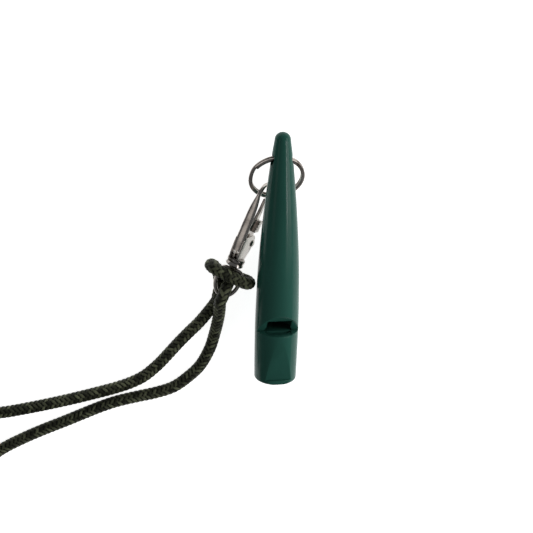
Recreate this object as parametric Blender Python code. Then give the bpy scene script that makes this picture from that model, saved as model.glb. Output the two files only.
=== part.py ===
"""A moulded training whistle lying on a flat surface, with its split ring, snap hook and lanyard.

World frame, in metres: the origin is the centre of the mouth end face, +Y runs along the whistle to
its tail, and +Z is up, on the window's side. Lengths below are in millimetres and MM scales them.
"""

import math

import bmesh
import bpy
from mathutils import Matrix, Vector

MM = 0.001
GAP = 0.3  # between pieces that touch in the real thing
FLOOR = -6.55

# Whistle: outer radius at each place along its axis
BODY_STATIONS = (
    (0.8, 6.55), (10.0, 6.68), (19.0, 6.75), (27.0, 6.62), (36.0, 6.38), (46.0, 5.80),
    (57.0, 4.92), (66.5, 3.95), (73.0, 3.20), (78.2, 2.45),
)
BODY_LENGTH = 80.5
BODY_SEGMENTS = 56
MOUTH_EDGE = 0.8
ROLL = math.radians(11)  # the whistle leans to its right as it lies
PITCH = math.radians(1.6)  # its tail rests on the snap hook
BORE_RADIUS = 4.7
WINDWAY_FLOOR, WINDWAY_ROOF = 2.6, 3.9
CHAMBER_ROOF, CHAMBER_END = 4.15, 32.5
STEP_FOOT = (17.0, 1.85)  # where the notch is deepest: along the axis, and above it
STEP_TOP = (16.6, 9.0)
RAMP_TOP = (26.48, 9.0)
WINDOW_HALF_WIDTH, LIP_AT = 3.85, 21.3
BEAK_START, BEAK_LOW, LEDGE = (15.4, 6.9), (1.4, 5.2), 5.75
HOLE_AT, HOLE_RADIUS = 72.0, 1.8

# Split ring: two turns of flat wire
RING_RADIUS = 8.0  # to the middle of the wire
RING_WIRE_RADIAL, RING_WIRE_AXIAL, RING_PITCH = 1.2, 0.62, 0.82
RING_SLIDE, RING_PLAY = -0.9, 0.55  # how far it has slid through the hole, and dropped in it
RING_DROOP = math.radians(25.5)  # from the whistle's axis, down towards the mouth
RING_JOG_AT, RING_JOG_HALF = math.radians(168), math.radians(22)

# Snap hook: it lies beside the whistle on the gate's edge, with its arch under the flank
HOOK_ORIGIN = (-3.98, 62.9, -3.02)  # the top of the arch, half way across it
HOOK_HEADING = math.radians(-110.3)  # of the spine from arch to collar, from +X
HOOK_SLOPE = math.radians(4.6)
HOOK_ROLL = math.radians(65)  # the gate's side is down
ARCH_RADIUS, ARCH_MIDDLE = 3.5, -4.1
CHEEK_INNER, CHEEK_OUTER = 1.1, 1.6
PIN_AT, PIN_RADIUS = (3.3, -20.2), 0.6
GATE_DEPTH, THUMB_PAD = 1.0, 4.0
COLLAR_TOP, COLLAR_END, COLLAR_RADIUS = -25.4, -28.2, 2.8
STEM_RADIUS, HEAD_RADIUS, HEAD_LENGTH = 0.7, 1.1, 0.8
HEAD_ROOM_TOP = -23.5
EYE_CORNER, EYE_STRAIGHT = 1.8, 2.2
EYE_BAR, EYE_END, EYE_HALF_WIDTH, EYE_WIRE = -29.4, -38.4, 3.6, 0.65

# Lanyard: round braided cord
CORD_RADIUS = 1.9
CORD_REST = FLOOR + CORD_RADIUS + 0.1
COIL_CENTRE = (-123.3, -25.4)
COIL_RADIUS, COIL_HALF_WIDTH, COIL_HEIGHT = 23.0, 6.0, 7.6


# ---------- scene and materials ----------


def clear_scene():
    for obj in list(bpy.data.objects):
        bpy.data.objects.remove(obj, do_unlink=True)


def material(name, colour, metallic, roughness):
    made = bpy.data.materials.new(name)
    made.use_nodes = True
    shader = made.node_tree.nodes["Principled BSDF"]
    shader.inputs["Base Color"].default_value = (*colour, 1)
    shader.inputs["Metallic"].default_value = metallic
    shader.inputs["Roughness"].default_value = roughness
    made.diffuse_color = (*colour, 1)
    return made


def frame_empty(name, matrix):
    empty = bpy.data.objects.new(name, None)
    bpy.context.collection.objects.link(empty)
    empty.matrix_world = matrix
    return empty


def add_object(name, mesh, finish, parent):
    obj = bpy.data.objects.new(name, mesh)
    bpy.context.collection.objects.link(obj)
    obj.parent = parent
    obj.data.materials.append(finish)
    return obj


def mesh_of(name, points, faces):
    """A mesh from points in millimetres, with its faces turned outwards."""
    mesh = bpy.data.meshes.new(name)
    mesh.from_pydata([Vector(p) * MM for p in points], [], faces)
    work = bmesh.new()
    work.from_mesh(mesh)
    bmesh.ops.remove_doubles(work, verts=work.verts, dist=1e-7)
    bmesh.ops.recalc_face_normals(work, faces=work.faces)
    work.to_mesh(mesh)
    work.free()
    return mesh


def smooth(obj, angle=35):
    obj.data.shade_smooth()
    obj.data.set_sharp_from_angle(angle=math.radians(angle))


def boolean(obj, other, operation):
    step = obj.modifiers.new(other.name, "BOOLEAN")
    step.operation = operation
    step.object = other
    other.hide_render = True
    other.display_type = "WIRE"


# ---------- shapes ----------


def turned(outline, segments):
    """Points and faces of a closed solid turned about Y, from (along, radius) pairs end to end."""
    points, rings = [], []
    for along, radius in outline:
        if radius < 1e-6:
            rings.append([len(points)])
            points.append((0, along, 0))
            continue
        rings.append([len(points) + i for i in range(segments)])
        for i in range(segments):
            turn = 2 * math.pi * i / segments
            points.append((radius * math.sin(turn), along, radius * math.cos(turn)))
    faces = []
    for low, high in zip(rings, rings[1:]):
        for i in range(segments):
            j = (i + 1) % segments
            corners = [low[i % len(low)], low[j % len(low)], high[j % len(high)], high[i % len(high)]]
            faces.append(list(dict.fromkeys(corners)))
    for ring in (rings[0], rings[-1]):
        if len(ring) > 1:
            faces.append(ring)
    return points, faces


def prism(outline, low, high, place):
    """Points and faces of a straight prism. place(a, b, c) puts outline point (a, b) at height c."""
    count = len(outline)
    points = [place(a, b, c) for c in (low, high) for a, b in outline]
    faces = [[i, (i + 1) % count, count + (i + 1) % count, count + i] for i in range(count)]
    return points, [*faces, list(range(count)), list(range(count, 2 * count))]


def swept(path, section_at, closed=False):
    """A solid along path, a list of Vectors in the XY plane or near it. section_at(i) gives the
    section at point i as (sideways, upwards) pairs."""
    points, faces = [], []
    last = len(path) - 1
    for i, middle in enumerate(path):
        before = path[i - 1] if closed or i else path[0]
        after = path[(i + 1) % len(path)] if closed or i < last else path[last]
        along = (after - before).normalized()
        side = along.cross(Vector((0, 0, 1))).normalized()
        up = side.cross(along)
        points += [tuple(middle + side * a + up * b) for a, b in section_at(i)]
    size = len(section_at(0))
    for i in range(len(path) if closed else last):
        j = (i + 1) % len(path)
        for k in range(size):
            m = (k + 1) % size
            faces.append([i * size + k, i * size + m, j * size + m, j * size + k])
    if not closed:
        faces.append(list(range(size)))
        faces.append(list(range(last * size, last * size + size)))
    return points, faces


def rounded_section(half_width, half_height, count=12, squareness=0.6):
    """A superellipse: squareness 1 is an ellipse, and less is nearer a rectangle."""
    section = []
    for k in range(count):
        turn = 2 * math.pi * (k + 0.5) / count
        c, s = math.cos(turn), math.sin(turn)
        section.append((
            half_width * math.copysign(abs(c) ** squareness, c),
            half_height * math.copysign(abs(s) ** squareness, s),
        ))
    return section


def spline(knots, per_span):
    """Points on a Catmull-Rom curve through the knots."""
    ends = [2 * knots[0] - knots[1], *knots, 2 * knots[-1] - knots[-2]]
    found = []
    for p, q, r, s in zip(ends, ends[1:], ends[2:], ends[3:]):
        for i in range(per_span):
            t = i / per_span
            found.append(0.5 * (
                2 * q + (r - p) * t + (2 * p - 5 * q + 4 * r - s) * t * t
                + (3 * q - p - 3 * r + s) * t ** 3
            ))
    return [*found, knots[-1]]


def evenly(points, spacing):
    """The same route, with points about spacing apart."""
    lengths = [0.0]
    for a, b in zip(points, points[1:]):
        lengths.append(lengths[-1] + (b - a).length)
    count = max(2, round(lengths[-1] / spacing))
    found, k = [], 0
    for i in range(count + 1):
        target = lengths[-1] * i / count
        while k < len(points) - 2 and lengths[k + 1] < target:
            k += 1
        share = (target - lengths[k]) / (lengths[k + 1] - lengths[k])
        found.append(points[k].lerp(points[k + 1], share))
    return found


# ---------- whistle ----------


def body_outline():
    knots = [Vector((along, radius, 0)) for along, radius in BODY_STATIONS]
    outline = [(0, 0), (0, BODY_STATIONS[0][1] - MOUTH_EDGE)]
    for i in (1, 2, 3):
        turn = math.radians(90 - 22.5 * i)
        radius = BODY_STATIONS[0][1] - MOUTH_EDGE + MOUTH_EDGE * math.cos(turn)
        outline.append((MOUTH_EDGE * (1 - math.sin(turn)), radius))
    outline += [(p.x, p.y) for p in spline(knots, 3)]
    dome_start, dome_radius = BODY_STATIONS[-1]
    for i in range(1, 5):
        turn = math.radians(90 * i / 5)
        along = dome_start + (BODY_LENGTH - dome_start) * math.sin(turn)
        outline.append((along, dome_radius * math.cos(turn)))
    return [*outline, (BODY_LENGTH, 0)]


def d_outline(radius, roof, steps=28):
    """A circle cut off flat at the roof's height, as (across, up) pairs."""
    start = math.asin(roof / radius)
    span = math.pi + 2 * start
    return [
        (radius * math.cos(start - span * i / steps), radius * math.sin(start - span * i / steps))
        for i in range(steps + 1)
    ]


def across_axis(along, up, side):
    return (side, along, up)


def along_axis(side, up, along):
    return (side, along, up)


def cutter(name, shape, parent, finish):
    return add_object(name, mesh_of(name, *shape), finish, parent)


def make_whistle(parent, finish):
    body = add_object("whistle_body", mesh_of("whistle_body", *turned(body_outline(), BODY_SEGMENTS)),
                      finish, parent)
    beak = [BEAK_START, BEAK_LOW, (BEAK_LOW[0], LEDGE), (-1, LEDGE), (-1, 9), (BEAK_START[0], 9)]
    window = [(16.7, 1.0), (LIP_AT, 1.0), (LIP_AT, 7.0), (16.7, 7.0)]
    hole = [(HOLE_AT + HOLE_RADIUS * math.cos(t), HOLE_RADIUS * math.sin(t))
            for t in (2 * math.pi * i / 24 for i in range(24))]
    shapes = {
        "beak_cutter": prism(beak, -8, 8, across_axis),
        "notch_cutter": prism([STEP_FOOT, RAMP_TOP, STEP_TOP], -8, 8, across_axis),
        "window_cutter": prism(window, -WINDOW_HALF_WIDTH, WINDOW_HALF_WIDTH, across_axis),
        "plug_bore_cutter": prism(d_outline(BORE_RADIUS, WINDWAY_ROOF), -1, 17.4, along_axis),
        "chamber_cutter": prism(d_outline(BORE_RADIUS, CHAMBER_ROOF), 16.95, CHAMBER_END, along_axis),
        "ring_hole_cutter": prism(hole, -8, 8, across_axis),
    }
    for name, shape in shapes.items():
        boolean(body, cutter(name, shape, parent, finish), "DIFFERENCE")
    smooth(body)


def make_plug(parent, finish):
    outline = d_outline(BORE_RADIUS - GAP, WINDWAY_FLOOR)
    shape = prism(outline, 0, STEP_FOOT[0] - 0.1, along_axis)
    smooth(add_object("fipple_plug", mesh_of("fipple_plug", *shape), finish, parent))


# ---------- split ring ----------


def make_split_ring(parent, finish):
    """Two flat turns joined by a jog, in the parent's XY plane with the hole at its origin."""
    centre = Vector((RING_SLIDE, RING_PLAY - RING_RADIUS, 0))
    first, last = RING_JOG_AT + RING_JOG_HALF, RING_JOG_AT + 4 * math.pi - RING_JOG_HALF
    crossing = RING_JOG_AT + 2 * math.pi
    steps = 110
    path = []
    for i in range(steps + 1):
        turn = first + (last - first) * i / steps
        share = min(1, max(0, 0.5 + (turn - crossing) / (2 * RING_JOG_HALF)))
        share = share * share * (3 - 2 * share)
        height = RING_PITCH * (share - 0.5)
        path.append(centre + Vector((math.cos(turn), math.sin(turn), 0)) * RING_RADIUS
                    + Vector((0, 0, height)))
    section = rounded_section(RING_WIRE_RADIAL / 2, RING_WIRE_AXIAL / 2, 8, 0.5)
    shape = swept(path, lambda i: section)
    smooth(add_object("split_ring", mesh_of("split_ring", *shape), finish, parent), 50)


# ---------- snap hook ----------


def hook_spine():
    """The spine's middle line from the collar to the nose, with half its width and depth there."""
    knots = [
        (-2.9, -22.4, 0.9, 1.5), (-3.3, -20.6, 0.65, 1.5), (-3.5, -18.0, 0.5, 1.5), (-3.5, -14.5, 0.5, 1.45),
        (-3.5, -11.0, 0.5, 1.35), (-3.5, -8.0, 0.5, 1.2), (-3.5, -5.8, 0.5, 0.9),
    ]
    for i in range(9):
        turn = math.radians(180 - 22.5 * i)
        knots.append((ARCH_RADIUS * math.cos(turn), ARCH_MIDDLE + ARCH_RADIUS * math.sin(turn), 0.5, 0.6))
    knots.append((3.45, -5.3, 0.5, 0.5))
    return knots


def flat(x, y, z):
    return (x, y, z)


def pin_bore(reach):
    """A hole for the pin through the hook's depth, with room round the pin."""
    radius, steps = PIN_RADIUS + GAP, 16
    turns = [2 * math.pi * i / steps for i in range(steps)]
    outline = [(PIN_AT[0] + radius * math.cos(t), PIN_AT[1] + radius * math.sin(t)) for t in turns]
    return prism(outline, -reach, reach, flat)


def make_hook_frame(parent, finish):
    knots = hook_spine()
    line = [Vector(p) for p in spline([Vector((x, y, 0)) for x, y, *_ in knots], 3)]
    sizes = spline([Vector((w, d, 0)) for *_, w, d in knots], 3)
    shape = swept(line, lambda i: rounded_section(sizes[i].x, sizes[i].y, 12, 0.7))
    frame = add_object("hook_frame", mesh_of("hook_frame", *shape), finish, parent)

    cheek = [(-3.0, -26.0), (-3.8, -23.8), (-4.0, -21.0), (-4.0, -18.6), (-3.2, -17.9), (0.6, -17.6),
             (3.2, -17.4), (4.4, -18.6), (4.7, -20.6), (4.0, -22.8), (2.8, -24.8), (2.0, -26.0)]
    for side, name in ((1, "cheek_top"), (-1, "cheek_bottom")):
        low, high = sorted((side * CHEEK_INNER, side * CHEEK_OUTER))
        boolean(frame, cutter(name, prism(cheek, low, high, flat), parent, finish), "UNION")
    collar = turned([
        (COLLAR_END, 0), (COLLAR_END, COLLAR_RADIUS - 0.4), (COLLAR_END + 0.4, COLLAR_RADIUS),
        (COLLAR_TOP - 0.4, COLLAR_RADIUS), (COLLAR_TOP, COLLAR_RADIUS - 0.3), (COLLAR_TOP, 0),
    ], 28)
    boolean(frame, cutter("collar", collar, parent, finish), "UNION")
    stem_room = turned([
        (COLLAR_END - 1, 0), (COLLAR_END - 1, STEM_RADIUS + GAP), (COLLAR_TOP + 0.15, STEM_RADIUS + GAP),
        (COLLAR_TOP + 0.15, HEAD_RADIUS + 0.2), (HEAD_ROOM_TOP, HEAD_RADIUS + 0.2), (HEAD_ROOM_TOP, 0),
    ], 20)
    boolean(frame, cutter("stem_room", stem_room, parent, finish), "DIFFERENCE")
    boolean(frame, cutter("pin_hole", pin_bore(3), parent, finish), "DIFFERENCE")
    smooth(frame)


def make_gate(parent, finish):
    """The lever from its hub on the pin to the nose, with a thumb pad across it."""
    outline = [(3.0, -5.7), (4.0, -5.7), (4.2, -9.0), (4.4, -12.0), (4.7, -16.0), (4.8, -20.0), (4.5, -22.2),
               (3.4, -23.2), (2.0, -22.8), (0.6, -21.0), (-0.2, -18.5), (-0.8, -16.0), (-0.2, -14.6),
               (1.6, -12.6), (2.5, -9.5), (2.8, -7.5)]
    shape = prism(outline, -GATE_DEPTH / 2, GATE_DEPTH / 2, flat)
    gate = add_object("gate_lever", mesh_of("gate_lever", *shape), finish, parent)
    pad = [(0.4, -16.2), (3.6, -16.2), (3.8, -12.4), (1.9, -12.4)]
    pad_shape = prism(pad, -THUMB_PAD / 2, THUMB_PAD / 2, flat)
    boolean(gate, cutter("thumb_pad", pad_shape, parent, finish), "UNION")
    boolean(gate, cutter("gate_bore", pin_bore(2), parent, finish), "DIFFERENCE")
    edge = gate.modifiers.new("worn_edges", "BEVEL")
    edge.width = 0.15 * MM
    edge.segments = 1
    edge.limit_method = "ANGLE"
    edge.angle_limit = math.radians(40)
    smooth(gate)


def make_gate_pin(parent, finish):
    """A rivet along the hook's depth, with a low head on each side."""
    reach, head = CHEEK_OUTER + GAP, 0.35
    half = [(0, PIN_RADIUS), (reach, PIN_RADIUS), (reach, 1.15), (reach + head, 0.8), (reach + head, 0)]
    outline = [(-a, r) for a, r in reversed(half[1:])] + half[1:]
    points, faces = turned(outline, 16)
    points = [(PIN_AT[0] + x, PIN_AT[1] + z, y) for x, y, z in points]
    smooth(add_object("gate_pin", mesh_of("gate_pin", points, faces), finish, parent))


def make_gate_spring(parent, finish):
    """A turn of torsion spring round the pin, between the gate and the lower cheek."""
    wire, radius, steps = 0.1, 1.12, 16
    path = []
    for i in range(steps + 1):
        turn = 2 * math.pi * i / steps
        path.append(Vector((PIN_AT[0] + radius * math.cos(turn), PIN_AT[1] + radius * math.sin(turn),
                            -GATE_DEPTH / 2 - 0.16 - 0.24 * i / steps)))
    shape = swept(path, lambda i: rounded_section(wire, wire, 6, 1))
    smooth(add_object("gate_spring", mesh_of("gate_spring", *shape), finish, parent), 60)


def make_swivel_eye(parent, finish):
    """A D shaped loop in the parent's XY plane, on the stem that turns in the collar."""
    inner, arc_start = EYE_HALF_WIDTH - EYE_CORNER, EYE_BAR - EYE_CORNER - EYE_STRAIGHT
    corner = []
    for i in range(5):
        turn = math.radians(90 * i / 4)
        corner.append((inner + EYE_CORNER * math.sin(turn), EYE_BAR - EYE_CORNER * (1 - math.cos(turn))))
    arc = []
    for i in range(17):
        turn = math.pi * i / 16
        arc.append((EYE_HALF_WIDTH * math.cos(turn), arc_start - (arc_start - EYE_END) * math.sin(turn)))
    outline = [*corner, *arc, *((-x, y) for x, y in reversed(corner))]
    path = [Vector((x, y, 0)) for x, y in outline]
    shape = swept(path, lambda i: rounded_section(EYE_WIRE, EYE_WIRE, 10, 1), closed=True)
    eye = add_object("swivel_eye", mesh_of("swivel_eye", *shape), finish, parent)
    head_start = COLLAR_TOP + 0.45
    stem = turned([(EYE_BAR - 0.3, 0), (EYE_BAR - 0.3, 1.1), (EYE_BAR + 0.5, 1.35),
                   (COLLAR_END - GAP, 1.35), (COLLAR_END - GAP, STEM_RADIUS), (head_start, STEM_RADIUS),
                   (head_start, HEAD_RADIUS), (head_start + HEAD_LENGTH, HEAD_RADIUS - 0.2),
                   (head_start + HEAD_LENGTH, 0)], 20)
    boolean(eye, cutter("stem", stem, parent, finish), "UNION")
    smooth(eye)


# ---------- lanyard ----------


# The hitch on the eye, in the swivel's frame: from under the eye round its left arm, across the front,
# round the right arm, then up through the eye and out over its end
HITCH = [
    (-2.5, -39.4, -2.9), (-2.3, -36.8, -2.9), (-2.7, -33.8, -2.9), (-4.4, -31.7, -2.8), (-6.1, -30.8, -1.7),
    (-6.7, -30.6, 0.2), (-5.7, -30.6, 2.1), (-3.4, -30.7, 3.0), (0.0, -31.0, 3.2), (3.2, -31.3, 3.0),
    (5.4, -31.5, 2.2), (6.5, -31.6, 0.2), (6.0, -31.7, -1.7), (4.2, -32.0, -2.9), (2.4, -32.4, -2.9),
    (0.9, -33.1, -1.4), (0.4, -34.3, 0.6), (0.2, -35.9, 2.4), (0.2, -38.0, 3.0), (0.1, -40.0, 2.6),
]
# Each strand's route from the hitch to the coil: first in the air, then along the surface
LEFT_DROP = [(-21.2, 23.6, -3.4), (-22.4, 19.6, -4.1)]
RIGHT_DROP = [(-17.8, 22.4, 0.8), (-18.3, 17.9, -1.9)]
LEFT_STRAND = [
    (-24.6, 15.4), (-27.4, 12.4), (-30.8, 8.5), (-33.8, 4.8), (-37.2, 0.8), (-41.3, -3.0), (-45.4, -5.4),
    (-50.0, -7.3), (-55.5, -9.1), (-65.8, -12.2), (-78.0, -15.4), (-88.0, -17.5), (-94.2, -18.7),
]
RIGHT_STRAND = [
    (-19.4, 12.0), (-20.8, 7.0), (-23.7, 1.2), (-27.8, -3.2), (-32.2, -6.6), (-37.6, -8.7), (-43.2, -10.2),
    (-49.8, -12.1), (-55.8, -14.5), (-65.6, -19.2), (-77.8, -25.0), (-88.0, -29.6), (-94.2, -32.0),
]


def tube(name, points, finish):
    curve = bpy.data.curves.new(name, "CURVE")
    curve.dimensions = "3D"
    curve.bevel_depth = CORD_RADIUS * MM
    curve.bevel_resolution = 2
    curve.use_fill_caps = True
    line = curve.splines.new("POLY")
    line.points.add(len(points) - 1)
    for place, point in zip(line.points, points):
        place.co = (*(point * MM), 1)
    return add_object(name, curve, finish, None)


def make_lanyard(eye_matrix, finish):
    hitch = evenly(spline([(eye_matrix @ (Vector(p) * MM)) / MM for p in HITCH], 5), 2.2)
    tube("lanyard_hitch", hitch, finish)
    for name, drop, route, end, before in (
        ("lanyard_strand_left", LEFT_DROP, LEFT_STRAND, hitch[0], hitch[1]),
        ("lanyard_strand_right", RIGHT_DROP, RIGHT_STRAND, hitch[-1], hitch[-2]),
    ):
        out = (end - before).normalized()
        knots = [end + out * 1.5, *map(Vector, drop), *(Vector((x, y, CORD_REST)) for x, y in route)]
        tube(name, [end + out * GAP, *evenly(spline(knots, 6), 3.6)], finish)
    outline = rounded_section(COIL_HALF_WIDTH, COIL_HEIGHT / 2, 16, 0.6)
    points, faces = [], []
    turns = 60
    for i in range(turns):
        angle = 2 * math.pi * i / turns
        for across, up in outline:
            reach = COIL_RADIUS + across
            points.append((COIL_CENTRE[0] + reach * math.cos(angle), COIL_CENTRE[1] + reach * math.sin(angle),
                           FLOOR + 0.05 + COIL_HEIGHT / 2 + up))
    size = len(outline)
    for i in range(turns):
        for k in range(size):
            m, j = (k + 1) % size, (i + 1) % turns
            faces.append([i * size + k, i * size + m, j * size + m, j * size + k])
    smooth(add_object("lanyard_coil", mesh_of("lanyard_coil", points, faces), finish, None))


# ---------- frames ----------


def axes_matrix(origin, x_axis, y_axis):
    """A frame at origin, in millimetres, with the given X and Y directions."""
    z_axis = x_axis.cross(y_axis)
    matrix = Matrix((x_axis, y_axis, z_axis)).transposed().to_4x4()
    matrix.translation = Vector(origin) * MM
    return matrix


def whistle_matrix():
    return Matrix.Rotation(PITCH, 4, "X") @ Matrix.Rotation(ROLL, 4, "Y")


def ring_matrix():
    """X along the ring's hole and -Y towards the ring's far side."""
    return whistle_matrix() @ Matrix.Translation((0, HOLE_AT * MM, 0)) @ Matrix.Rotation(RING_DROOP, 4, "X")


def hook_matrix(roll):
    """-Y from the arch to the collar, +X to the gate's side. roll lowers the gate's side."""
    axis = Vector((
        math.cos(HOOK_SLOPE) * math.cos(HOOK_HEADING),
        math.cos(HOOK_SLOPE) * math.sin(HOOK_HEADING),
        math.sin(HOOK_SLOPE),
    ))
    level = Vector((-math.sin(HOOK_HEADING), math.cos(HOOK_HEADING), 0))
    return axes_matrix(HOOK_ORIGIN, Matrix.Rotation(roll, 3, -axis) @ level, -axis)


def swivel_matrix():
    """On the hook's own axis, with its X level."""
    return hook_matrix(0.0)


def main():
    clear_scene()
    green = material("green_plastic", (0.010, 0.060, 0.045), 0.0, 0.25)
    steel = material("ring_steel", (0.45, 0.43, 0.40), 1.0, 0.28)
    chrome = material("hook_chrome", (0.55, 0.52, 0.49), 1.0, 0.18)
    braid = material("cord_braid", (0.020, 0.026, 0.014), 0.0, 0.85)

    whistle = frame_empty("whistle_axis", whistle_matrix())
    make_whistle(whistle, green)
    make_plug(whistle, green)
    make_split_ring(frame_empty("ring_hinge", ring_matrix()), steel)
    hook = frame_empty("hook_axis", hook_matrix(HOOK_ROLL))
    make_hook_frame(hook, chrome)
    make_gate(hook, chrome)
    make_gate_pin(hook, chrome)
    make_gate_spring(hook, steel)
    eye_matrix = swivel_matrix()
    make_swivel_eye(frame_empty("swivel_axis", eye_matrix), chrome)
    make_lanyard(eye_matrix, braid)


main()
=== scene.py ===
import math

import bmesh
import bpy
import numpy as np
from mathutils import Matrix, Vector


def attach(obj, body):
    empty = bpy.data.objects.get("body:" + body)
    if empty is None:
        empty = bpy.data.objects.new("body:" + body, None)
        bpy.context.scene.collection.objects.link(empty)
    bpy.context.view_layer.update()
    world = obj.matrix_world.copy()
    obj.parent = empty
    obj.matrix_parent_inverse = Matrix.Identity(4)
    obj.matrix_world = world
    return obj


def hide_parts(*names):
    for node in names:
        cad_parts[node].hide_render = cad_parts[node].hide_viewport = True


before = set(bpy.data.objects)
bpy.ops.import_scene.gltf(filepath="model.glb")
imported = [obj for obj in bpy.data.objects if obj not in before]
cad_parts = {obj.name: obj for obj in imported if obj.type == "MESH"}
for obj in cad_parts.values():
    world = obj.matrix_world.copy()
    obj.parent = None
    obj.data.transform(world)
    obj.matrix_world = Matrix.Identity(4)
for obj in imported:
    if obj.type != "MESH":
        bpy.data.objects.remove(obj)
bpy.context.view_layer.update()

MM = 0.001
FLOOR = -6.55
GAP = 0.3


# ---------- frames, repeated from the CAD ----------

ROLL = math.radians(11)
PITCH = math.radians(1.6)
HOLE_AT, HOLE_RADIUS = 72.0, 1.8
RING_DROOP = math.radians(25.5)
HOOK_ORIGIN = (-3.98, 62.9, -3.02)
HOOK_HEADING = math.radians(-110.3)
HOOK_SLOPE = math.radians(4.6)
HOOK_ROLL = math.radians(65)


def axes_matrix(origin, x_axis, y_axis):
    matrix = Matrix((x_axis, y_axis, x_axis.cross(y_axis))).transposed().to_4x4()
    matrix.translation = Vector(origin) * MM
    return matrix


def hook_matrix(roll):
    """-Y from the arch to the collar, +X to the gate's side. roll lowers the gate's side."""
    axis = Vector((
        math.cos(HOOK_SLOPE) * math.cos(HOOK_HEADING),
        math.cos(HOOK_SLOPE) * math.sin(HOOK_HEADING),
        math.sin(HOOK_SLOPE),
    ))
    level = Vector((-math.sin(HOOK_HEADING), math.cos(HOOK_HEADING), 0))
    return axes_matrix(HOOK_ORIGIN, Matrix.Rotation(roll, 3, -axis) @ level, -axis)


WHISTLE = Matrix.Rotation(PITCH, 4, "X") @ Matrix.Rotation(ROLL, 4, "Y")
RING = WHISTLE @ Matrix.Translation((0, HOLE_AT * MM, 0)) @ Matrix.Rotation(RING_DROOP, 4, "X")
HOOK = hook_matrix(HOOK_ROLL)
SWIVEL = hook_matrix(0.0)


# ---------- camera ----------

CAMERA_LEAN = math.radians(20.5)  # from straight above, towards the tail
CAMERA_TWIST = math.radians(1.74)
CAMERA_AT = Vector((-3.7, 36.75, -0.28))
CAMERA_FAR, CAMERA_LENS = 550.0, 121.1

TO_CAMERA = Vector((0, math.sin(CAMERA_LEAN), math.cos(CAMERA_LEAN)))
ACROSS = Vector((0, math.cos(CAMERA_LEAN), -math.sin(CAMERA_LEAN)))
RIGHT = Vector((math.cos(CAMERA_TWIST), 0, 0)) + ACROSS * math.sin(CAMERA_TWIST)
UP = ACROSS * math.cos(CAMERA_TWIST) - Vector((math.sin(CAMERA_TWIST), 0, 0))


def make_camera():
    camera = bpy.data.objects.new("camera", bpy.data.cameras.new("camera"))
    bpy.context.scene.collection.objects.link(camera)
    matrix = Matrix((RIGHT, UP, TO_CAMERA)).transposed().to_4x4()
    matrix.translation = (CAMERA_AT + TO_CAMERA * CAMERA_FAR) * MM
    camera.matrix_world = matrix
    camera.data.lens = CAMERA_LENS
    camera.data.sensor_width = 36
    camera.data.clip_start, camera.data.clip_end = 0.01, 20
    camera.data.dof.use_dof = False
    bpy.context.scene.camera = camera


make_camera()


# ---------- shapes ----------


def spline(knots, per_span):
    """Points on a Catmull-Rom curve through the knots."""
    ends = [2 * knots[0] - knots[1], *knots, 2 * knots[-1] - knots[-2]]
    found = []
    for p, q, r, s in zip(ends, ends[1:], ends[2:], ends[3:]):
        for i in range(per_span):
            t = i / per_span
            found.append(0.5 * (
                2 * q + (r - p) * t + (2 * p - 5 * q + 4 * r - s) * t * t
                + (3 * q - p - 3 * r + s) * t ** 3
            ))
    return [*found, knots[-1]]


def link(name, mesh, matrix=None):
    obj = bpy.data.objects.new(name, mesh)
    bpy.context.scene.collection.objects.link(obj)
    if matrix is not None:
        obj.matrix_world = matrix
    return obj


def mesh_of(name, points, faces):
    """A mesh from points in millimetres, with its faces turned outwards."""
    mesh = bpy.data.meshes.new(name)
    mesh.from_pydata([Vector(p) * MM for p in points], [], faces)
    work = bmesh.new()
    work.from_mesh(mesh)
    bmesh.ops.remove_doubles(work, verts=work.verts, dist=1e-8)
    bmesh.ops.recalc_face_normals(work, faces=work.faces)
    work.to_mesh(mesh)
    work.free()
    return mesh


def turned(outline, segments):
    """Points and faces of a closed solid turned about Y, from (along, radius) pairs end to end."""
    points, rings = [], []
    for along, radius in outline:
        if radius < 1e-6:
            rings.append([len(points)])
            points.append((0, along, 0))
            continue
        rings.append([len(points) + i for i in range(segments)])
        for i in range(segments):
            turn = 2 * math.pi * i / segments
            points.append((radius * math.sin(turn), along, radius * math.cos(turn)))
    faces = []
    for low, high in zip(rings, rings[1:]):
        for i in range(segments):
            j = (i + 1) % segments
            corners = [low[i % len(low)], low[j % len(low)], high[j % len(high)], high[i % len(high)]]
            faces.append(list(dict.fromkeys(corners)))
    for ring in (rings[0], rings[-1]):
        if len(ring) > 1:
            faces.append(ring)
    return points, faces


def prism(outline, low, high, place):
    """Points and faces of a straight prism. place(a, b, c) puts outline point (a, b) at height c."""
    count = len(outline)
    points = [place(a, b, c) for c in (low, high) for a, b in outline]
    faces = [[i, (i + 1) % count, count + (i + 1) % count, count + i] for i in range(count)]
    return points, [*faces, list(range(count)), list(range(count, 2 * count))]


def across_axis(along, up, side):
    return (side, along, up)


def along_axis(side, up, along):
    return (side, along, up)


def flat(x, y, z):
    return (x, y, z)


def across_pad(along, side, across):
    return (across, along, side)


def swept(path, section_at, closed=False):
    """A solid along path. section_at(i) gives the section at point i as (sideways, upwards) pairs."""
    points, faces = [], []
    last = len(path) - 1
    for i, middle in enumerate(path):
        before = path[i - 1] if closed or i else path[0]
        after = path[(i + 1) % len(path)] if closed or i < last else path[last]
        along = (after - before).normalized()
        side = along.cross(Vector((0, 0, 1))).normalized()
        up = side.cross(along)
        points += [tuple(middle + side * a + up * b) for a, b in section_at(i)]
    size = len(section_at(0))
    for i in range(len(path) if closed else last):
        j = (i + 1) % len(path)
        for k in range(size):
            m = (k + 1) % size
            faces.append([i * size + k, i * size + m, j * size + m, j * size + k])
    if not closed:
        faces.append(list(range(size)))
        faces.append(list(range(last * size, last * size + size)))
    return points, faces


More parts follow.
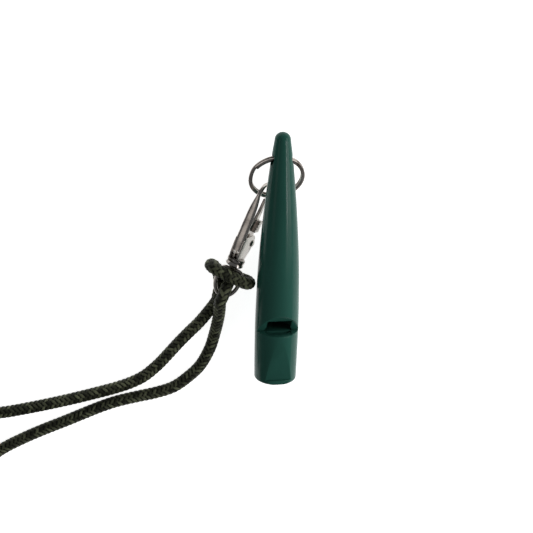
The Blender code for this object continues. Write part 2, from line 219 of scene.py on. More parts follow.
def rounded_section(half_width, half_height, count=24, squareness=0.6):
    """A superellipse: squareness 1 is an ellipse, and less is nearer a rectangle."""
    section = []
    for k in range(count):
        turn = 2 * math.pi * (k + 0.5) / count
        c, s = math.cos(turn), math.sin(turn)
        section.append((
            half_width * math.copysign(abs(c) ** squareness, c),
            half_height * math.copysign(abs(s) ** squareness, s),
        ))
    return section


def rounded_outline(outline, radius, steps=4):
    """The outline with each corner replaced by a short arc."""
    points = [Vector(p) for p in outline]
    found = []
    for i, corner in enumerate(points):
        before, after = points[i - 1] - corner, points[(i + 1) % len(points)] - corner
        reach = min(radius, 0.45 * before.length, 0.45 * after.length)
        start, end = corner + before.normalized() * reach, corner + after.normalized() * reach
        for k in range(steps + 1):
            t = k / steps
            found.append(tuple((1 - t) ** 2 * start + 2 * t * (1 - t) * corner + t * t * end))
    return found


def circle(middle, radius, count):
    return [(middle[0] + radius * math.cos(2 * math.pi * i / count),
             middle[1] + radius * math.sin(2 * math.pi * i / count)) for i in range(count)]


def bake(obj):
    """Applies the object's modifiers."""
    graph = bpy.context.evaluated_depsgraph_get()
    mesh = bpy.data.meshes.new_from_object(obj.evaluated_get(graph))
    obj.modifiers.clear()
    obj.data = mesh


def bevel(obj, width, segments=2, angle=35):
    step = obj.modifiers.new("worn_edges", "BEVEL")
    step.width = width * MM
    step.segments = segments
    step.limit_method = "ANGLE"
    step.angle_limit = math.radians(angle)
    step.harden_normals = False
    bake(obj)


def combine(obj, shape, operation, edge=0.0):
    """Adds or cuts a shape, given in the object's own frame, with its own edges rounded first."""
    tool = link("tool", mesh_of("tool", *shape), obj.matrix_world)
    if edge:
        bevel(tool, edge, 3)
    step = obj.modifiers.new("combine", "BOOLEAN")
    step.operation = operation
    step.solver = "EXACT"
    step.object = tool
    bpy.context.view_layer.update()
    bake(obj)
    bpy.data.objects.remove(tool)


def smooth(obj, angle=35):
    obj.data.shade_smooth()
    obj.data.set_sharp_from_angle(angle=math.radians(angle))
    return obj


# ---------- lanyard ----------

CORD_RADIUS = 1.9
CORD_REST = FLOOR + CORD_RADIUS + 0.1
COIL_CENTRE = (-123.3, -25.4)
# The hitch on the eye, in the swivel's frame: from under the eye round its left arm, across the front,
# round the right arm, then up through the eye and out over its end
HITCH = (
    (-0.8, -39.4, -2.9), (-1.3, -36.8, -2.9), (-2.7, -33.8, -2.9), (-4.4, -31.7, -2.8), (-6.1, -30.8, -1.7),
    (-6.7, -30.6, 0.2), (-5.7, -30.6, 2.1), (-3.4, -30.7, 3.0), (0.0, -31.0, 3.2), (3.2, -31.3, 3.0),
    (5.4, -31.5, 2.2), (6.5, -31.6, 0.2), (6.0, -31.7, -1.7), (4.2, -32.0, -2.9), (2.4, -32.4, -2.9),
    (0.9, -33.1, -1.4), (0.4, -34.3, 0.6), (0.2, -35.9, 2.4), (0.2, -38.0, 3.0), (0.1, -40.0, 2.6),
)
SEAM = 13  # the knot at which the loop's two ends meet, beneath the eye
# Where each strand comes down from the hitch, and then its way over the surface
LEFT_DROP = ((-18.9, 23.6, -4.0), (-21.4, 19.7, -4.4))
RIGHT_DROP = ((-17.8, 22.4, 0.8), (-18.3, 17.9, -1.9))
LEFT_STRAND = (
    (-24.3, 15.8), (-27.4, 12.4), (-30.8, 8.5), (-33.8, 4.8), (-37.2, 0.8), (-41.3, -3.0), (-45.4, -5.4),
    (-50.0, -7.3), (-55.5, -9.1), (-65.8, -12.2), (-78.0, -15.4), (-88.0, -17.5), (-94.2, -17.2),
)
RIGHT_STRAND = (
    (-19.4, 12.0), (-20.8, 7.0), (-23.7, 1.2), (-27.8, -3.2), (-32.2, -6.6), (-37.6, -8.7), (-43.2, -10.2),
    (-49.8, -12.1), (-55.8, -14.5), (-65.6, -19.2), (-77.8, -25.0), (-88.0, -31.0),
)
# The coil's turns in the order that the cord takes them: radius, and height above the lowest layer
COIL_TURNS = ((26.8, 0.0), (23.0, 0.0), (19.2, 0.0), (19.2, 3.75), (23.0, 3.75), (26.8, 3.75))
COIL_STEP_AT, COIL_STEP_LONG = 200, 60  # where each turn moves over to the next place, in degrees
COIL_START, COIL_KNOT_EVERY = 45, 15  # in degrees
COIL_ENTRY = ((30, 27.2, 0.0),)  # angle, radius and height on the way in
COIL_EXIT = ((215, 27.4, 3.1), (232, 28.3, 1.9), (260, 27.2, 0.0), (280, 27.0, 0.0), (300, 27.2, 0.0),
             (320, 28.5, 0.0), (336, 30.8, 0.0))


def coil_route():
    """From the left strand's end round the coil and out to the right strand's, anticlockwise."""
    places = list(COIL_ENTRY)
    last = 360 * (len(COIL_TURNS) - 1) + COIL_STEP_AT
    for angle in range(COIL_START, last + 1, COIL_KNOT_EVERY):
        turn, within = divmod(angle, 360)
        share = min(1.0, max(0.0, (within - COIL_STEP_AT) / COIL_STEP_LONG))
        share = share * share * (3 - 2 * share)
        here, after = COIL_TURNS[turn], COIL_TURNS[min(turn + 1, len(COIL_TURNS) - 1)]
        places.append((angle, here[0] + (after[0] - here[0]) * share, here[1] + (after[1] - here[1]) * share))
    places += COIL_EXIT
    return [Vector((
        COIL_CENTRE[0] + radius * math.cos(math.radians(angle)),
        COIL_CENTRE[1] + radius * math.sin(math.radians(angle)),
        CORD_REST + lift,
    )) for angle, radius, lift in places]


def cord_route():
    """The whole loop as one line, in millimetres, from the seam and back to it."""
    hitch = [(SWIVEL @ (Vector(p) * MM)) / MM for p in HITCH]
    away = [*map(Vector, RIGHT_DROP), *(Vector((x, y, CORD_REST)) for x, y in RIGHT_STRAND)]
    back = [Vector((x, y, CORD_REST)) for x, y in reversed(LEFT_STRAND)] + [*map(Vector, LEFT_DROP[::-1])]
    knots = [*hitch[SEAM:], *away, *reversed(coil_route()), *back, *hitch[:SEAM + 1]]
    line = spline(knots, 12)
    return np.array([tuple(p) for p in line])


# The braid: eight columns of stitches round the cord, which lean one way and the other in turn
BRAID_COLUMNS = 8
STITCH_PITCH = 1.55
STITCH_LEAN = 0.62  # pitches along for each column across
STITCH_HALF_ACROSS, STITCH_HALF_ALONG = 0.78, 0.47  # in columns, and in pitches
RELIEF, CROWN_LIFT = 0.36, 0.04  # from crown to groove, and of the crowns above the cord's radius
AROUND = 36
SEEN_FROM_X = -90.0  # the coil beyond it is meshed more coarsely
STEP_SEEN, STEP_COILED = 0.26, 0.6


def fraction(values):
    return values - np.floor(values)


def cord_rings():
    """Places along the route, closer together where the cord shows its stitches most."""
    line = cord_route()
    lengths = np.concatenate([[0], np.cumsum(np.linalg.norm(np.diff(line, axis=0), axis=1))])
    at, found = 0.0, []
    while at < lengths[-1]:
        found.append(at)
        x = np.interp(at, lengths, line[:, 0])
        at += STEP_SEEN if x > SEEN_FROM_X else STEP_COILED
    found.append(lengths[-1])
    found = np.array(found)
    return found, np.stack([np.interp(found, lengths, line[:, k]) for k in range(3)], axis=1)


def cord_frames(points):
    """A direction along the cord at each point, and two across it that don't twist."""
    along = np.gradient(points, axis=0)
    along /= np.linalg.norm(along, axis=1)[:, None]
    side = np.zeros_like(points)
    side[0] = np.cross(along[0], (0.0, 0.0, 1.0))
    side[0] /= np.linalg.norm(side[0])
    for i in range(1, len(points)):
        carried = side[i - 1] - along[i] * (side[i - 1] @ along[i])
        side[i] = carried / np.linalg.norm(carried)
    return along, side, np.cross(along, side)


def braid(turn, along):
    """Height from 0 to 1, lean, and a number of each stitch's own, at angles and lengths of one shape."""
    column = 2 * math.pi / BRAID_COLUMNS
    height, lean, tone = np.zeros_like(turn), np.zeros_like(turn), np.zeros_like(turn)
    for sign, first in ((1, 0), (-1, 1)):
        place = (turn / column - first) / 2
        across = (place - np.round(place)) * 2
        pitch = along / STITCH_PITCH + sign * STITCH_LEAN * across + 0.5 * first
        share = fraction(pitch) - 0.5
        inside = 1 - (across / STITCH_HALF_ACROSS) ** 2 - (share / STITCH_HALF_ALONG) ** 2
        bump = np.sqrt(np.clip(inside, 0, 1))
        seed = np.mod(np.round(place), BRAID_COLUMNS / 2) * 12.9898 + np.floor(pitch) * 78.233 + first * 37.7
        higher = bump >= height
        height = np.where(higher, bump, height)
        lean = np.where(higher, float(sign), lean)
        tone = np.where(higher, fraction(np.sin(seed) * 43758.5453), tone)
    return height, lean, tone


def make_cord():
    places, middle = cord_rings()
    _, side, up = cord_frames(middle)
    turns = 2 * math.pi * np.arange(AROUND) / AROUND
    turn, along = np.meshgrid(turns, places)
    height, lean, tone = braid(turn, along)
    radius = CORD_RADIUS - RELIEF * (1 - height) + CROWN_LIFT
    points = (middle[:, None, :] + radius[..., None] * (
        np.cos(turn)[..., None] * side[:, None, :] + np.sin(turn)[..., None] * up[:, None, :]
    )).reshape(-1, 3) * MM
    rows = len(places)
    i, k = np.meshgrid(np.arange(rows - 1), np.arange(AROUND), indexing="ij")
    m = (k + 1) % AROUND
    faces = np.stack([i * AROUND + k, i * AROUND + m, (i + 1) * AROUND + m, (i + 1) * AROUND + k], -1)
    caps = [list(range(AROUND))[::-1], list(range((rows - 1) * AROUND, rows * AROUND))]
    mesh = bpy.data.meshes.new("lanyard")
    mesh.from_pydata(points.tolist(), [], faces.reshape(-1, 4).tolist() + caps)
    mesh.update()
    for name, values in (("crown", height), ("lean", lean), ("tone", tone), ("round", turn * CORD_RADIUS),
                         ("along", along)):
        layer = mesh.attributes.new(name, "FLOAT", "POINT")
        layer.data.foreach_set("value", values.astype(np.float32).ravel())
    mesh.shade_smooth()
    lanyard = link("lanyard", mesh)
    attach(lanyard, "swivel")
    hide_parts("lanyard_hitch", "lanyard_strand_left", "lanyard_strand_right", "lanyard_coil")
    return lanyard


lanyard = make_cord()


# ---------- whistle ----------

BODY_STATIONS = (
    (0.8, 6.55), (10.0, 6.68), (19.0, 6.75), (27.0, 6.62), (36.0, 6.38), (46.0, 5.80),
    (57.0, 4.92), (66.5, 3.95), (73.0, 3.20), (78.2, 2.45),
)
BODY_LENGTH, BODY_SEGMENTS = 80.5, 144
MOUTH_EDGE = 0.8
BORE_RADIUS = 4.7
WINDWAY_FLOOR, WINDWAY_ROOF = 2.6, 3.9
WINDWAY_END = 17.4
CHAMBER_ROOF, CHAMBER_START, CHAMBER_END = 4.15, 16.95, 32.5
STEP_FOOT, STEP_TOP, RAMP_TOP = (17.0, 1.85), (16.6, 9.0), (26.48, 9.0)
WINDOW_START, LIP_AT = 16.7, 21.3
WINDOW_LOW, WINDOW_HIGH, WINDOW_HALF_WIDTH = 1.0, 7.0, 3.85
BEAK_START, BEAK_LOW, LEDGE = (15.4, 6.9), (1.4, 5.2), 5.75
MOULDED_EDGE = 0.16
CUT_REACH = 8  # past the body's side on a cut that goes right across


def body_outline():
    knots = [Vector((along, radius, 0)) for along, radius in BODY_STATIONS]
    outline = [(0, 0), (0, BODY_STATIONS[0][1] - MOUTH_EDGE)]
    for i in range(1, 8):
        turn = math.radians(90 - 90 * i / 8)
        radius = BODY_STATIONS[0][1] - MOUTH_EDGE + MOUTH_EDGE * math.cos(turn)
        outline.append((MOUTH_EDGE * (1 - math.sin(turn)), radius))
    outline += [(p.x, p.y) for p in spline(knots, 8)]
    dome_start, dome_radius = BODY_STATIONS[-1]
    for i in range(1, 12):
        turn = math.radians(90 * i / 12)
        along = dome_start + (BODY_LENGTH - dome_start) * math.sin(turn)
        outline.append((along, dome_radius * math.cos(turn)))
    return [*outline, (BODY_LENGTH, 0)]


def d_outline(radius, roof, steps=72):
    """A circle cut off flat at the roof's height, as (across, up) pairs."""
    start = math.asin(roof / radius)
    span = math.pi + 2 * start
    return [
        (radius * math.cos(start - span * i / steps), radius * math.sin(start - span * i / steps))
        for i in range(steps + 1)
    ]


def make_whistle():
    body = link("whistle", mesh_of("whistle", *turned(body_outline(), BODY_SEGMENTS)), WHISTLE)
    beak = [BEAK_START, BEAK_LOW, (BEAK_LOW[0], LEDGE), (-1, LEDGE), (-1, 9), (BEAK_START[0], 9)]
    window = [(WINDOW_START, WINDOW_LOW), (LIP_AT, WINDOW_LOW), (LIP_AT, WINDOW_HIGH),
              (WINDOW_START, WINDOW_HIGH)]
    for shape in (
        prism(beak, -CUT_REACH, CUT_REACH, across_axis),
        prism([STEP_FOOT, RAMP_TOP, STEP_TOP], -CUT_REACH, CUT_REACH, across_axis),
        prism(window, -WINDOW_HALF_WIDTH, WINDOW_HALF_WIDTH, across_axis),
        prism(d_outline(BORE_RADIUS, WINDWAY_ROOF), -1, WINDWAY_END, along_axis),
        prism(d_outline(BORE_RADIUS, CHAMBER_ROOF), CHAMBER_START, CHAMBER_END, along_axis),
        prism(circle((HOLE_AT, 0), HOLE_RADIUS, 48), -CUT_REACH, CUT_REACH, across_axis),
    ):
        combine(body, shape, "DIFFERENCE")
    bevel(body, MOULDED_EDGE, 3, 30)
    smooth(body, 40)
    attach(body, "whistle")
    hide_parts("whistle_body")
    return body


def make_plug():
    shape = prism(d_outline(BORE_RADIUS - GAP, WINDWAY_FLOOR), 0, STEP_FOOT[0] - 0.1, along_axis)
    plug = link("plug", mesh_of("plug", *shape), WHISTLE)
    bevel(plug, 0.2, 3)
    smooth(plug)
    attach(plug, "whistle")
    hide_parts("fipple_plug")
    return plug


whistle, plug = make_whistle(), make_plug()


# ---------- split ring ----------

RING_RADIUS = 8.0
RING_WIRE_RADIAL, RING_WIRE_AXIAL, RING_PITCH = 1.2, 0.62, 0.82
RING_STEPS = 440
RING_SLIDE, RING_PLAY = -0.9, 0.55
RING_JOG_AT, RING_JOG_HALF = math.radians(168), math.radians(22)


def make_split_ring():
    centre = Vector((RING_SLIDE, RING_PLAY - RING_RADIUS, 0))
    first, last = RING_JOG_AT + RING_JOG_HALF, RING_JOG_AT + 4 * math.pi - RING_JOG_HALF
    crossing = RING_JOG_AT + 2 * math.pi
    path = []
    for i in range(RING_STEPS + 1):
        turn = first + (last - first) * i / RING_STEPS
        share = min(1, max(0, 0.5 + (turn - crossing) / (2 * RING_JOG_HALF)))
        share = share * share * (3 - 2 * share)
        path.append(centre + Vector((math.cos(turn), math.sin(turn), 0)) * RING_RADIUS
                    + Vector((0, 0, RING_PITCH * (share - 0.5))))
    section = rounded_section(RING_WIRE_RADIAL / 2, RING_WIRE_AXIAL / 2, 20, 0.5)
    ring = link("ring", mesh_of("ring", *swept(path, lambda i: section)), RING)
    smooth(ring, 50)
    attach(ring, "ring")
    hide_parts("split_ring")
    return ring


ring = make_split_ring()


# ---------- snap hook ----------

ARCH_RADIUS, ARCH_MIDDLE = 3.5, -4.1
ARCH_HALF = (0.5, 0.6)  # half the wire's width and depth
NOSE = (3.45, -5.3, 0.5, 0.5)  # the arch's end, with half its width and depth
CHEEK_INNER, CHEEK_OUTER = 1.1, 1.6
PIN_AT, PIN_RADIUS = (3.3, -20.2), 0.6
GATE_DEPTH, THUMB_PAD = 1.0, 4.0
PAD = ((0.4, -16.2), (3.6, -16.2), (3.8, -12.4), (1.9, -12.4))
PAD_GROOVES, PAD_GROOVE_STEP, PAD_GROOVE_FIRST, PAD_GROOVE = 4, 0.85, 0.68, 0.28
COLLAR_TOP, COLLAR_END, COLLAR_RADIUS = -25.4, -28.2, 2.8
STEM_RADIUS, HEAD_RADIUS, HEAD_LENGTH = 0.7, 1.1, 0.8
HEAD_ROOM_TOP = -23.5
EYE_CORNER, EYE_STRAIGHT = 1.8, 2.2
EYE_BAR, EYE_END, EYE_HALF_WIDTH, EYE_WIRE = -29.4, -38.4, 3.6, 0.65
# The spine from the collar to the arch: across, along, and half its width and depth there
SPINE = (
    (-2.9, -22.4, 0.9, 1.5), (-3.3, -20.6, 0.65, 1.5), (-3.5, -18.0, 0.5, 1.5), (-3.5, -14.5, 0.5, 1.45),
    (-3.5, -11.0, 0.5, 1.35), (-3.5, -8.0, 0.5, 1.2), (-3.5, -5.8, 0.5, 0.9),
)
CHEEK = (
    (-3.0, -26.0), (-3.8, -23.8), (-4.0, -21.0), (-4.0, -18.6), (-3.2, -17.9), (0.6, -17.6),
    (3.2, -17.4), (4.4, -18.6), (4.7, -20.6), (4.0, -22.8), (2.8, -24.8), (2.0, -26.0),
)
GATE = (
    (3.0, -5.7), (4.0, -5.7), (4.2, -9.0), (4.4, -12.0), (4.7, -16.0), (4.8, -20.0), (4.5, -22.2),
    (3.4, -23.2), (2.0, -22.8), (0.6, -21.0), (-0.2, -18.5), (-0.8, -16.0), (-0.2, -14.6),
    (1.6, -12.6), (2.5, -9.5), (2.8, -7.5),
)


def make_hook():
    knots = list(SPINE)
    for i in range(9):
        turn = math.radians(180 - 22.5 * i)
        knots.append((ARCH_RADIUS * math.cos(turn), ARCH_MIDDLE + ARCH_RADIUS * math.sin(turn), *ARCH_HALF))
    knots.append(NOSE)
    line = [Vector(p) for p in spline([Vector((x, y, 0)) for x, y, *_ in knots], 8)]
    sizes = spline([Vector((w, d, 0)) for *_, w, d in knots], 8)
    shape = swept(line, lambda i: rounded_section(sizes[i].x, sizes[i].y, 28, 0.7))
    hook = link("hook", mesh_of("hook", *shape), HOOK)
    cheek = rounded_outline(CHEEK, 0.9)
    for low, high in ((CHEEK_INNER, CHEEK_OUTER), (-CHEEK_OUTER, -CHEEK_INNER)):
        combine(hook, prism(cheek, low, high, flat), "UNION", 0.14)
    collar = [(COLLAR_END, 0), (COLLAR_END, 2.1), (COLLAR_END + 0.15, 2.5), (COLLAR_END + 0.5, COLLAR_RADIUS),
              (COLLAR_END + 1.0, 2.7), (COLLAR_END + 1.3, 2.5), (COLLAR_END + 1.6, 2.7),
              (COLLAR_TOP - 0.5, COLLAR_RADIUS), (COLLAR_TOP - 0.15, 2.6), (COLLAR_TOP, 2.3), (COLLAR_TOP, 0)]
    combine(hook, turned(collar, 64), "UNION")
    stem_room = [(COLLAR_END - 1, 0), (COLLAR_END - 1, STEM_RADIUS + GAP),
                 (COLLAR_TOP + 0.15, STEM_RADIUS + GAP), (COLLAR_TOP + 0.15, HEAD_RADIUS + 0.2),
                 (HEAD_ROOM_TOP, HEAD_RADIUS + 0.2), (HEAD_ROOM_TOP, 0)]
    combine(hook, turned(stem_room, 48), "DIFFERENCE")
    combine(hook, prism(circle(PIN_AT, PIN_RADIUS + GAP / 2, 32), -3, 3, flat), "DIFFERENCE")
    smooth(hook)
    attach(hook, "hook")
    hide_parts("hook_frame")
    return hook


def make_gate():
    """The lever, with a thumb pad across it that is ridged for grip."""
    outline = rounded_outline(GATE, 0.5)
    gate = link("gate", mesh_of("gate", *prism(outline, -GATE_DEPTH / 2, GATE_DEPTH / 2, flat)), HOOK)
    bevel(gate, 0.18, 3)
    combine(gate, prism(rounded_outline(PAD, 0.5), -THUMB_PAD / 2, THUMB_PAD / 2, flat), "UNION", 0.15)
    for i in range(PAD_GROOVES):
        along = PAD[0][1] + PAD_GROOVE_FIRST + PAD_GROOVE_STEP * i
        groove = circle((0, along), PAD_GROOVE, 16)
        reach = THUMB_PAD / 2 + PAD_GROOVE / 2
        for side in (-reach, reach):
            combine(gate, prism([(y, z + side) for z, y in groove], -1, 6, across_pad), "DIFFERENCE")
    combine(gate, prism(circle(PIN_AT, PIN_RADIUS + GAP / 2, 32), -2, 2, flat), "DIFFERENCE")
    smooth(gate)
    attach(gate, "gate")
    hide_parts("gate_lever")
    return gate


def make_pin():
    reach = CHEEK_OUTER + 0.05
    half = [(0, PIN_RADIUS), (reach, PIN_RADIUS), (reach, 1.1), (reach + 0.12, 1.12), (reach + 0.3, 0.98),
            (reach + 0.42, 0.7), (reach + 0.46, 0.35), (reach + 0.46, 0)]
    outline = [(-a, r) for a, r in reversed(half[1:])] + half[1:]
    points, faces = turned(outline, 40)
    points = [(PIN_AT[0] + x, PIN_AT[1] + z, y) for x, y, z in points]
    pin = smooth(link("pin", mesh_of("pin", points, faces), HOOK))
    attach(pin, "hook")
    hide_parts("gate_pin")
    return pin


def make_spring():
    """Two turns round the pin, between the lever and a cheek."""
    wire, radius, steps, turns = 0.1, 1.12, 128, 2
    start, length = -GATE_DEPTH / 2 - 0.16, 0.24
    path = []
    for i in range(turns * steps + 1):
        turn = 2 * math.pi * i / steps
        path.append(Vector((PIN_AT[0] + radius * math.cos(turn), PIN_AT[1] + radius * math.sin(turn),
                            start - length * i / (turns * steps))))
    section = rounded_section(wire, wire, 12, 1)
    spring = smooth(link("spring", mesh_of("spring", *swept(path, lambda i: section)), HOOK), 60)
    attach(spring, "hook")
    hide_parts("gate_spring")
    return spring


def make_eye():
    """A D shaped loop on the stem that turns in the collar."""
    inner = EYE_HALF_WIDTH - EYE_CORNER
    half = []
    for i in range(17):
        turn = math.radians(90 * i / 16)
        half.append((inner + EYE_CORNER * math.sin(turn), EYE_BAR - EYE_CORNER * (1 - math.cos(turn))))
    start = EYE_BAR - EYE_CORNER - EYE_STRAIGHT
    bow = [(EYE_HALF_WIDTH * math.cos(math.radians(180 * i / 48)),
            start - (start - EYE_END) * math.sin(math.radians(180 * i / 48))) for i in range(49)]
    outline = [*half, *bow, *((-x, y) for x, y in reversed(half))]
    path = [Vector((x, y, 0)) for x, y in outline]
    section = rounded_section(EYE_WIRE, EYE_WIRE, 24, 1)
    eye = link("eye", mesh_of("eye", *swept(path, lambda i: section, closed=True)), SWIVEL)
    head_start = COLLAR_TOP + 0.45
    stem = turned([(EYE_BAR - 0.3, 0), (EYE_BAR - 0.3, 1.1), (EYE_BAR + 0.5, 1.35),
                   (COLLAR_END - GAP - 0.1, 1.35), (COLLAR_END - GAP, 1.25), (COLLAR_END - GAP, STEM_RADIUS),
                   (head_start, STEM_RADIUS), (head_start, HEAD_RADIUS),
                   (head_start + HEAD_LENGTH, HEAD_RADIUS - 0.2), (head_start + HEAD_LENGTH, 0)], 48)
    combine(eye, stem, "UNION")
    smooth(eye)
    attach(eye, "swivel")
    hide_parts("swivel_eye")
    return eye


hook, gate, pin, spring, eye = make_hook(), make_gate(), make_pin(), make_spring(), make_eye()


# ---------- materials ----------


class Nodes:
    """A material's nodes, added one after another."""

    def __init__(self, name):
        self.material = bpy.data.materials.new(name)
        self.material.use_nodes = True
        self.tree = self.material.node_tree
        self.shader = self.tree.nodes["Principled BSDF"]

    def add(self, kind, inputs=(), **settings):
        node = self.tree.nodes.new(kind)
        for name, value in settings.items():
            setattr(node, name, value)
        for name, value in dict(inputs).items():
            self.put(node, name, value)
        return node

    def put(self, node, name, value):
        if isinstance(value, bpy.types.NodeSocket):
            self.tree.links.new(value, node.inputs[name])
        else:
            node.inputs[name].default_value = value

    def set(self, **values):
        for name, value in values.items():
            self.put(self.shader, name.replace("_", " "), value)

    def place(self, scale=(1, 1, 1)):
        """The point in metres, stretched by scale."""
        where = self.add("ShaderNodeTexCoord")
        return self.add("ShaderNodeMapping", {"Vector": where.outputs["Object"], "Scale": scale}).outputs[0]

    def noise(self, scale, detail=3.0, stretch=(1, 1, 1), distortion=0.0):
        return self.add("ShaderNodeTexNoise", {
            "Vector": self.place(stretch), "Scale": scale, "Detail": detail, "Distortion": distortion,
        }).outputs["Fac"]

    def ramp(self, value, *stops):
        """value, mapped through (place, colour or number) stops."""
        node = self.add("ShaderNodeValToRGB", {"Fac": value})
        line = node.color_ramp
        while len(line.elements) < len(stops):
            line.elements.new(0.5)
        for element, (place, colour) in zip(line.elements, stops):
            element.position = place
            if isinstance(colour, (int, float)):
                colour = (colour, colour, colour)
            element.color = (*colour, 1)
        return node.outputs["Color"]

    def math(self, operation, a, b=0.0):
        return self.add("ShaderNodeMath", {0: a, 1: b}, operation=operation).outputs[0]

    def mix(self, share, a, b):
        node = self.add("ShaderNodeMix", data_type="RGBA", blend_type="MIX")
        self.put(node, 0, share)
        self.put(node, 6, a)
        self.put(node, 7, b)
        return node.outputs[2]

    def bump(self, height, distance, strength):
        node = self.add("ShaderNodeBump", {"Height": height, "Distance": distance, "Strength": strength})
        return node.outputs["Normal"]

    def attribute(self, name):
        return self.add("ShaderNodeAttribute", attribute_name=name).outputs["Fac"]


def plastic():
    """Glossy moulded plastic, with handling haze, hair scratches and a few paler scuffs."""
    n = Nodes("plastic")
    haze = n.noise(90.0, 5.0, (1, 0.4, 1))
    scratches = n.noise(900.0, 2.0, (1.6, 0.05, 1.6), 0.6)
    scuffs = n.noise(420.0, 6.0)
    paler = n.ramp(haze, (0.30, 0.0), (0.75, 1.0))
    base = n.mix(paler, (0.0185, 0.0860, 0.0660, 1), (0.0240, 0.1040, 0.0800, 1))
    worn = n.ramp(scuffs, (0.66, 0.0), (0.78, 0.20))
    n.set(
        Base_Color=n.mix(worn, base, (0.035, 0.110, 0.085, 1)),
        Roughness=n.math("ADD", n.ramp(haze, (0.3, 0.17), (0.8, 0.24)),
                         n.ramp(scratches, (0.60, 0.0), (0.80, 0.07))),
        Normal=n.bump(n.math("ADD", scratches, n.noise(160.0, 2.0)), 0.000006, 0.5),
        IOR=1.30,
        Specular_IOR_Level=0.3,
    )
    return n.material


def metal(name, colour, dark, roughness, grain):
    """Plated or drawn metal. grain is how strongly it is brushed, and dark is its tarnished colour."""
    n = Nodes(name)
    blotches = n.noise(260.0, 6.0)
    pits = n.noise(1500.0, 3.0)
    lines = n.noise(1200.0, 2.0, (1.0, 0.08, 1.0))
    tarnish = n.ramp(blotches, (0.50, 0.0), (0.72, 1.0))
    n.set(
        Base_Color=n.mix(tarnish, (*colour, 1), (*dark, 1)),
        Metallic=1.0,
        Roughness=n.math("ADD", n.ramp(blotches, (0.35, roughness), (0.75, roughness + 0.14)),
                         n.ramp(pits, (0.55, 0.0), (0.75, 0.10))),
        Normal=n.bump(n.math("ADD", n.math("MULTIPLY", lines, grain), n.math("MULTIPLY", pits, 0.5)),
                      0.000012, 0.6),
    )
    return n.material


def braided():
    """Nylon yarns: fine filaments run along each stitch; the crowns carry a painted highlight, at a strength
    of each stitch's own, and the grooves between them are painted shade.
    """
    n = Nodes("braid")
    crown, lean, tone = n.attribute("crown"), n.attribute("lean"), n.attribute("tone")
    slant = n.math("SUBTRACT", n.attribute("along"), n.math("MULTIPLY", lean, n.attribute("round")))
    filaments = n.math("ADD", n.math("MULTIPLY", n.math("SINE", n.math("MULTIPLY", slant, 26.0)), 0.5), 0.5)
    fibre = n.math("MULTIPLY", n.math("ADD", n.math("MULTIPLY", filaments, 0.45), n.noise(2600.0, 3.0)), 0.8)
    # Painted highlight: the base colour brightens towards each stitch's crown, more on some stitches at
    # random, and the grooves get a near-black painted shade.
    share = n.math("ADD", n.math("POWER", tone, 1.5), 0.10)
    painted_crown_highlight = n.math("MULTIPLY", n.ramp(crown, (0.40, 0.0), (0.85, 1.0)), share)
    yarn = n.mix(fibre, (0.040, 0.046, 0.026, 1), (0.230, 0.250, 0.150, 1))
    n.set(
        Base_Color=n.mix(painted_crown_highlight, (0.0030, 0.0036, 0.0020, 1), yarn),
        Roughness=n.ramp(fibre, (0.2, 0.62), (0.9, 0.45)),
        Normal=n.bump(n.math("ADD", fibre, n.noise(3500.0, 2.0)), 0.00008, 0.5),
        Specular_IOR_Level=0.15,
    )
    return n.material


PLASTIC = plastic()
CHROME = metal("chrome", (0.47, 0.435, 0.405), (0.17, 0.145, 0.13), 0.16, 0.4)
STEEL = metal("steel", (0.44, 0.40, 0.37), (0.15, 0.12, 0.10), 0.24, 1.4)
SPRING_STEEL = metal("spring_steel", (0.40, 0.38, 0.36), (0.14, 0.12, 0.10), 0.30, 0.8)
for finish, objects in ((braided(), (lanyard,)), (PLASTIC, (whistle, plug)), (STEEL, (ring,)),
                        (CHROME, (hook, gate, pin, eye)), (SPRING_STEEL, (spring,))):
    for obj in objects:
        obj.data.materials.clear()
        obj.data.materials.append(finish)


# ---------- floor and light ----------


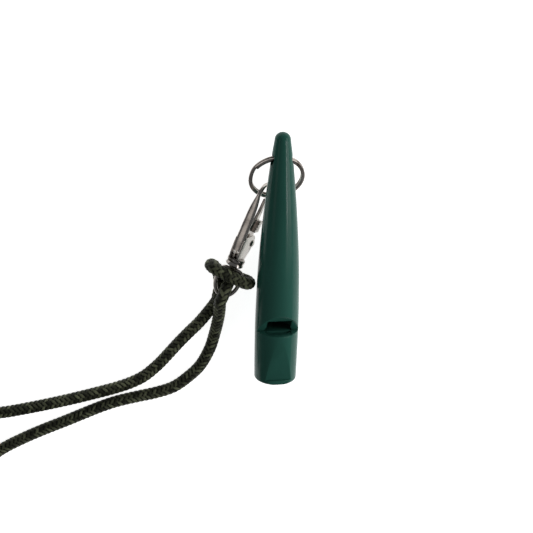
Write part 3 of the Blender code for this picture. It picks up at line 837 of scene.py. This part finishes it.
def make_floor():
    size = 3.0
    corners = [(-size, -size, FLOOR * MM), (size, -size, FLOOR * MM), (size, size, FLOOR * MM),
               (-size, size, FLOOR * MM)]
    mesh = bpy.data.meshes.new("floor")
    mesh.from_pydata(corners, [], [(0, 1, 2, 3)])
    floor = link("floor", mesh)
    n = Nodes("paper")
    tooth = n.noise(400.0, 4.0)
    n.set(
        Base_Color=n.mix(tooth, (0.90, 0.90, 0.90, 1), (0.96, 0.96, 0.96, 1)),
        Roughness=0.8,
        Normal=n.bump(tooth, 0.0001, 0.3),
        Emission_Strength=0.9,
    )
    n.shader.inputs["Emission Color"].default_value = (1, 1, 1, 1)
    mesh.materials.append(n.material)


def make_light(name, direction, distance, size, power, colour=(1, 1, 1)):
    """A soft box, aimed at the object from a direction. size is its width, and its height along the
    whistle."""
    light = bpy.data.objects.new(name, bpy.data.lights.new(name, "AREA"))
    bpy.context.scene.collection.objects.link(light)
    light.data.shape = "RECTANGLE"
    light.data.size, light.data.size_y = size
    light.data.energy = power
    light.data.color = colour
    aim = CAMERA_AT * MM
    back = Vector(direction).normalized()
    side = Vector((0, 1, 0)).cross(back).normalized()
    matrix = Matrix((side, back.cross(side), back)).transposed().to_4x4()
    matrix.translation = aim + back * distance
    light.matrix_world = matrix


def from_camera(right, up):
    """The direction to something seen right and up from the camera's own place, in degrees."""
    return (TO_CAMERA + RIGHT * math.tan(math.radians(right)) + UP * math.tan(math.radians(up))).normalized()


make_floor()
# A narrow strip for the highlight, a window on the right, and a pale card that the hook's web reflects
make_light("strip", (0.73, -0.10, 0.68), 1.0, (0.04, 0.22), 1.4)
make_light("window", from_camera(66, -4), 1.1, (0.55, 0.9), 6.0, (1.0, 0.99, 0.97))
make_light("card", (-0.683, 0.046, 0.727), 1.0, (0.30, 0.55), 0.36, (1.0, 0.95, 0.90))

ROOM_COLOUR, ROOM_STRENGTH = (0.93, 0.96, 1.0, 1), 0.14
world = bpy.data.worlds.new("room")
bpy.context.scene.world = world
world.use_nodes = True
world.node_tree.nodes["Background"].inputs["Color"].default_value = ROOM_COLOUR
world.node_tree.nodes["Background"].inputs["Strength"].default_value = ROOM_STRENGTH
bpy.context.scene.view_settings.view_transform = "Standard"
bpy.context.scene.view_settings.look = "None"
